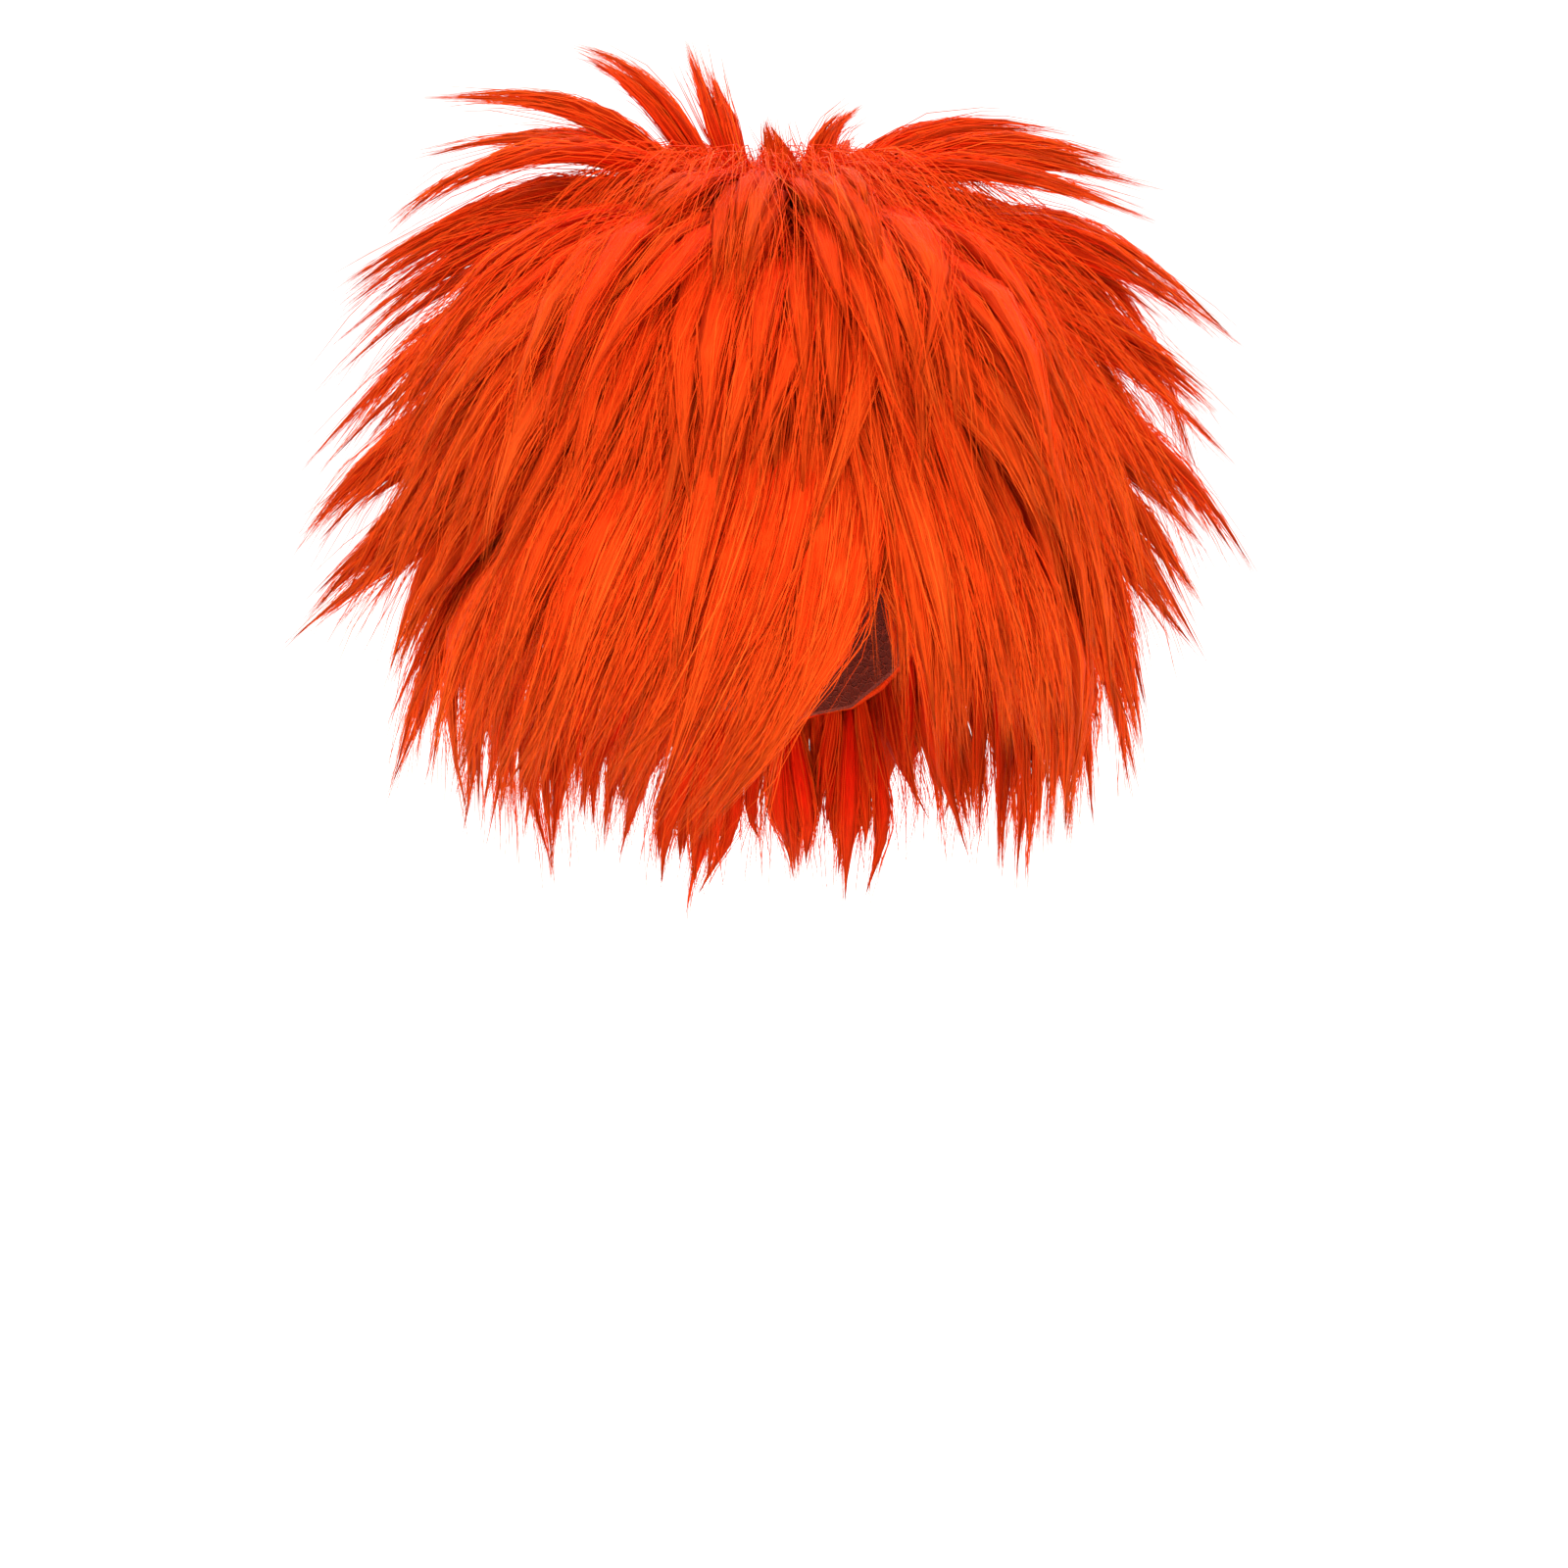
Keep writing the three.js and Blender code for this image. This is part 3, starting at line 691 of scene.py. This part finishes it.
def undercoat(low, high, start, stop):
    """A closed coat of hair that lies on the cap between two shares of the way to its edge."""
    closed = stop - start >= 360
    columns = int((stop - start) / COAT_STEP)
    azimuths = [start + COAT_STEP * c for c in range(columns + (0 if closed else 1))]
    downs = np.linspace(low, high, COAT_ROWS)
    layers = []
    for raised in COAT_RAISED:
        layers.append([[on_head(a, d * edge_down(a), raised) for d in downs] for a in azimuths])
    outer, inner = np.array(layers[1]), np.array(layers[0])
    rows, count = COAT_ROWS, len(azimuths)
    verts = np.concatenate([outer.reshape(-1, 3), inner.reshape(-1, 3)])
    inside = count * rows
    faces, places = [], []

    def add(a, b, c, d, column, row):
        faces.append((a, b, c, d))
        u, wide = 0.2 + 0.1 * (column % 4), 0.1
        v, tall = 0.05 + 0.3 * row / rows, 0.3 / rows
        places.extend([(u, v), (u + wide, v), (u + wide, v + tall), (u, v + tall)])

    for c in range(columns):
        a, b = c * rows, (c + 1) % count * rows
        for r in range(rows - 1):
            add(a + r, b + r, b + r + 1, a + r + 1, c, r)
            add(inside + b + r, inside + a + r, inside + a + r + 1, inside + b + r + 1, c, r)
        add(b, a, inside + a, inside + b, c, 0)
        add(a + rows - 1, b + rows - 1, inside + b + rows - 1, inside + a + rows - 1, c, rows - 1)
    if not closed:
        for r in range(rows - 1):
            last = (count - 1) * rows
            add(r + 1, r, inside + r, inside + r + 1, 0, r)
            add(last + r, last + r + 1, inside + last + r + 1, inside + last + r, 0, r)
    corners = np.array([(f[0], f[3], f[2], f[0], f[2], f[1]) for f in faces]).ravel()
    places = np.array(places).reshape(-1, 4, 2)[:, (0, 3, 2, 0, 2, 1)].reshape(-1, 2)
    return verts, corners, places


def build_mesh(name, parts):
    """One smooth mesh of triangles from several parts, with the map that the colour reads."""
    first, corners = 0, []
    for verts, own, _ in parts:
        corners.append(own + first)
        first += len(verts)
    verts = np.concatenate([part[0] for part in parts])
    corners = np.concatenate(corners)
    mesh = bpy.data.meshes.new(name)
    mesh.vertices.add(len(verts))
    mesh.vertices.foreach_set("co", verts.astype(np.float32).ravel())
    mesh.loops.add(len(corners))
    mesh.loops.foreach_set("vertex_index", corners.astype(np.int32))
    mesh.polygons.add(len(corners) // 3)
    mesh.polygons.foreach_set("loop_start", np.arange(0, len(corners), 3, dtype=np.int32))
    layer = mesh.uv_layers.new(name="OFBake")
    places = np.concatenate([part[2] for part in parts])
    layer.data.foreach_set("uv", places.astype(np.float32).ravel())
    mesh.update(calc_edges=True)
    mesh.validate()
    mesh.shade_smooth()
    made = bpy.data.objects.new(name, mesh)
    bpy.context.scene.collection.objects.link(made)
    return made


def new_material(name):
    """A material, its nodes and links, and its shader."""
    material = bpy.data.materials.new(name)
    material.use_nodes = True
    nodes = material.node_tree.nodes
    return material, nodes, material.node_tree.links, nodes["Principled BSDF"]


def fibre_colour_group():
    """Colour and fine ridges of combed fibres, from their tone and the way from root to tip."""
    group = bpy.data.node_groups.new("combed_fibres", "ShaderNodeTree")
    face = group.interface
    face.new_socket("Lie", in_out="INPUT", socket_type="NodeSocketVector")
    face.new_socket("Color", in_out="OUTPUT", socket_type="NodeSocketColor")
    face.new_socket("Ridges", in_out="OUTPUT", socket_type="NodeSocketFloat")
    nodes, links = group.nodes, group.links
    given, put = nodes.new("NodeGroupInput"), nodes.new("NodeGroupOutput")
    parts = nodes.new("ShaderNodeSeparateXYZ")
    stretch = nodes.new("ShaderNodeMapping")
    stretch.inputs["Scale"].default_value = STREAK_SCALE
    streaks = nodes.new("ShaderNodeTexNoise")
    streaks.inputs["Scale"].default_value = 1
    streaks.inputs["Detail"].default_value = 3
    streaks.inputs["Roughness"].default_value = 0.65
    spread = nodes.new("ShaderNodeMath")
    spread.operation = "MULTIPLY_ADD"
    spread.inputs[1].default_value = STREAK_STRENGTH
    lowered = nodes.new("ShaderNodeMath")
    lowered.operation = "SUBTRACT"
    lowered.inputs[1].default_value = STREAK_STRENGTH / 2
    ramp = nodes.new("ShaderNodeValToRGB")
    stops = ramp.color_ramp.elements
    stops[0].position, stops[0].color = 0.0, DEEP_COLOUR
    stops[1].position, stops[1].color = 1.0, LIGHT_COLOUR
    stops.new(0.5).color = MAIN_COLOUR
    tips = nodes.new("ShaderNodeMapRange")
    tips.inputs["From Min"].default_value = TIPS_FROM
    tips.inputs["From Max"].default_value = 1.0
    tips.inputs["To Max"].default_value = TIPS_STRENGTH
    mixed = nodes.new("ShaderNodeMix")
    mixed.data_type = "RGBA"
    mixed.inputs["B"].default_value = TIP_COLOUR
    links.new(given.outputs["Lie"], parts.inputs["Vector"])
    links.new(given.outputs["Lie"], stretch.inputs["Vector"])
    links.new(stretch.outputs["Vector"], streaks.inputs["Vector"])
    links.new(streaks.outputs["Fac"], spread.inputs[0])
    links.new(parts.outputs["X"], spread.inputs[2])
    links.new(spread.outputs["Value"], lowered.inputs[0])
    links.new(lowered.outputs["Value"], ramp.inputs["Fac"])
    links.new(parts.outputs["Y"], tips.inputs["Value"])
    links.new(tips.outputs["Result"], mixed.inputs["Factor"])
    links.new(ramp.outputs["Color"], mixed.inputs["A"])
    links.new(mixed.outputs["Result"], put.inputs["Color"])
    links.new(streaks.outputs["Fac"], put.inputs["Ridges"])
    return group


def hair_material(name, colour_group, ridge_height):
    """Combed fibres, with fine ridges where the surface is a clump's body."""
    material, nodes, links, shader = new_material(name)
    place = nodes.new("ShaderNodeUVMap")
    place.uv_map = "OFBake"
    fibres = nodes.new("ShaderNodeGroup")
    fibres.node_tree = colour_group
    links.new(place.outputs["UV"], fibres.inputs["Lie"])
    links.new(fibres.outputs["Color"], shader.inputs["Base Color"])
    if ridge_height:
        bump = nodes.new("ShaderNodeBump")
        bump.inputs["Distance"].default_value = ridge_height
        links.new(fibres.outputs["Ridges"], bump.inputs["Height"])
        links.new(bump.outputs["Normal"], shader.inputs["Normal"])
    shader.inputs["Roughness"].default_value = HAIR_ROUGHNESS
    shader.inputs["Specular IOR Level"].default_value = HAIR_SPECULAR
    shader.inputs["Specular Tint"].default_value = HAIR_SPECULAR_TINT
    return material


def cap_material():
    """A fine net with raised threads."""
    material, nodes, links, shader = new_material("cap_net")
    place = nodes.new("ShaderNodeTexCoord")
    net = nodes.new("ShaderNodeTexVoronoi")
    net.feature = "DISTANCE_TO_EDGE"
    net.inputs["Scale"].default_value = NET_SCALE
    threads = nodes.new("ShaderNodeMapRange")
    threads.inputs["From Max"].default_value = NET_THREAD_WIDTH
    threads.inputs["To Min"].default_value = 1
    threads.inputs["To Max"].default_value = 0
    mixed = nodes.new("ShaderNodeMix")
    mixed.data_type = "RGBA"
    mixed.inputs["A"].default_value = NET_GROUND
    mixed.inputs["B"].default_value = NET_THREAD
    bump = nodes.new("ShaderNodeBump")
    bump.inputs["Distance"].default_value = NET_THREAD_HEIGHT
    links.new(place.outputs["Object"], net.inputs["Vector"])
    links.new(net.outputs["Distance"], threads.inputs["Value"])
    links.new(threads.outputs["Result"], mixed.inputs["Factor"])
    links.new(mixed.outputs["Result"], shader.inputs["Base Color"])
    links.new(threads.outputs["Result"], bump.inputs["Height"])
    links.new(bump.outputs["Normal"], shader.inputs["Normal"])
    shader.inputs["Roughness"].default_value = NET_ROUGHNESS
    return material


def add_piece(name, node, parts, finish):
    piece = build_mesh(name, parts)
    piece.data.materials.append(finish)
    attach(piece, "root")
    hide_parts(node)


def comb(locks, row, closed, rng, share=1):
    """Some locks' clump bodies and strands, combed as the row, with a share of its strands."""
    combing = COMBING[row]
    strands = int(combing.strands * share)
    veil = int(strands * combing.veil)
    clumps = make_clumps(locks, combing, rng)
    gathered = clump_strands(clumps, strands - veil, rng)
    if row == "crown_tufts":
        return [clump_bodies(clumps, TUFT_BODY_SHARE, rng)], [gathered, whorl_strands(veil, rng)]
    over = veil_strands(locks, closed, combing, veil, rng)
    return [clump_bodies(clumps, BODY_SHARE, rng)], [gathered, over]


def add_hair():
    """Every row's strands and clumps, then the sweeps over the back and the brow."""
    rng = np.random.default_rng(SEED)
    colour_group = fibre_colour_group()
    strand_finish = hair_material("hair_strands", colour_group, 0)
    clump_finish = hair_material("hair_clumps", colour_group, RIDGE_HEIGHT)
    wefts = {row.name: row for row in WEFT_ROWS}
    below = {upper.name: lower for upper, lower in zip(WEFT_ROWS, WEFT_ROWS[1:])}
    rows = {row.name: row_locks(row) for row in WEFT_ROWS}
    rows |= {name: fringe_locks(table) for name, table in FRINGES.items()}
    rows["crown_tufts"] = crown_locks()

    def add_combed(name, node, clumps, strands):
        add_piece(name + "_strands", node, strands, strand_finish)
        add_piece(name + "_clumps", node, clumps, clump_finish)

    for node, locks in rows.items():
        clumps, strands = comb(locks, node, node in CLOSED_ROWS, rng)
        if node in below:
            infill = infill_locks(wefts[node], below[node], rows)
            more_clumps, more_strands = comb(infill, "infill", False, rng)
            clumps += more_clumps
            strands += more_strands
        if node in COATS:
            clumps.append(undercoat(*COATS[node]))
        add_combed(node, node, clumps, strands)
    clumps, strands = [], []
    for upper, lower, root in BACK_SWEEPS:
        falling = back_locks(infill_locks(wefts[upper], wefts[lower], rows), root)
        more_clumps, more_strands = comb(falling, "back_sweep", False, rng)
        clumps += more_clumps
        strands += more_strands
    add_combed("back_sweep", "upper_weft", clumps, strands)
    for fringe, table in FRINGES.items():
        share = len(table) / sum(len(other) for other in FRINGES.values())
        clumps, strands = comb(sweep_locks(table), "brow_sweep", False, rng, share)
        add_combed("brow_sweep_" + fringe, "top_weft", clumps, strands)


def add_camera():
    data = bpy.data.cameras.new("camera")
    data.sensor_width = SENSOR_WIDTH
    data.lens = SENSOR_WIDTH * CAMERA_DISTANCE / FRAME_SIDE
    camera = bpy.data.objects.new("camera", data)
    back = Vector((0, -math.cos(CAMERA_ELEVATION), math.sin(CAMERA_ELEVATION)))
    camera.location = CAMERA_TARGET + back * CAMERA_DISTANCE
    camera.rotation_euler = (math.pi / 2 - CAMERA_ELEVATION, 0, 0)
    bpy.context.scene.collection.objects.link(camera)
    bpy.context.scene.camera = camera


def add_floor():
    """A pale floor that bends up into a backdrop."""
    profile = [(-FLOOR_REACH, 0), (BACKDROP_NEAR, 0)]
    for step in range(1, BACKDROP_STEPS + 1):
        a = math.pi / 2 * step / BACKDROP_STEPS
        along, up = BACKDROP_BEND * math.sin(a), BACKDROP_BEND * (1 - math.cos(a))
        profile.append((BACKDROP_NEAR + along, up))
    profile.append((BACKDROP_NEAR + BACKDROP_BEND, FLOOR_REACH))
    sides = (-FLOOR_REACH, FLOOR_REACH)
    verts = [(x, y, FLOOR_HEIGHT + z) for y, z in profile for x in sides]
    faces = [(2 * i, 2 * i + 1, 2 * i + 3, 2 * i + 2) for i in range(len(profile) - 1)]
    mesh = bpy.data.meshes.new("floor")
    mesh.from_pydata(verts, [], faces)
    mesh.shade_smooth()
    floor = bpy.data.objects.new("floor", mesh)
    material, nodes, links, shader = new_material("pale_floor")
    shader.inputs["Base Color"].default_value = FLOOR_COLOUR
    shader.inputs["Roughness"].default_value = FLOOR_ROUGHNESS
    mesh.materials.append(material)
    bpy.context.scene.collection.objects.link(floor)


def add_light(name, place, size, power):
    data = bpy.data.lights.new(name, "AREA")
    data.shape, data.size, data.energy = "SQUARE", size, power
    light = bpy.data.objects.new(name, data)
    light.location = place
    light.rotation_euler = (CAMERA_TARGET - Vector(place)).to_track_quat("-Z", "Y").to_euler()
    bpy.context.scene.collection.objects.link(light)


def add_studio():
    """The floor, an even white surround and four soft lights."""
    add_floor()
    world = bpy.data.worlds.new("studio")
    world.use_nodes = True
    surround = world.node_tree.nodes["Background"]
    surround.inputs["Color"].default_value = (1, 1, 1, 1)
    surround.inputs["Strength"].default_value = STUDIO_STRENGTH
    bpy.context.scene.world = world
    for light in LIGHTS:
        add_light(*light)
    bpy.context.scene.view_settings.view_transform = "Standard"


add_camera()
add_hair()
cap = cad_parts["cap"]
cap.data.materials.clear()
cap.data.materials.append(cap_material())
add_studio()
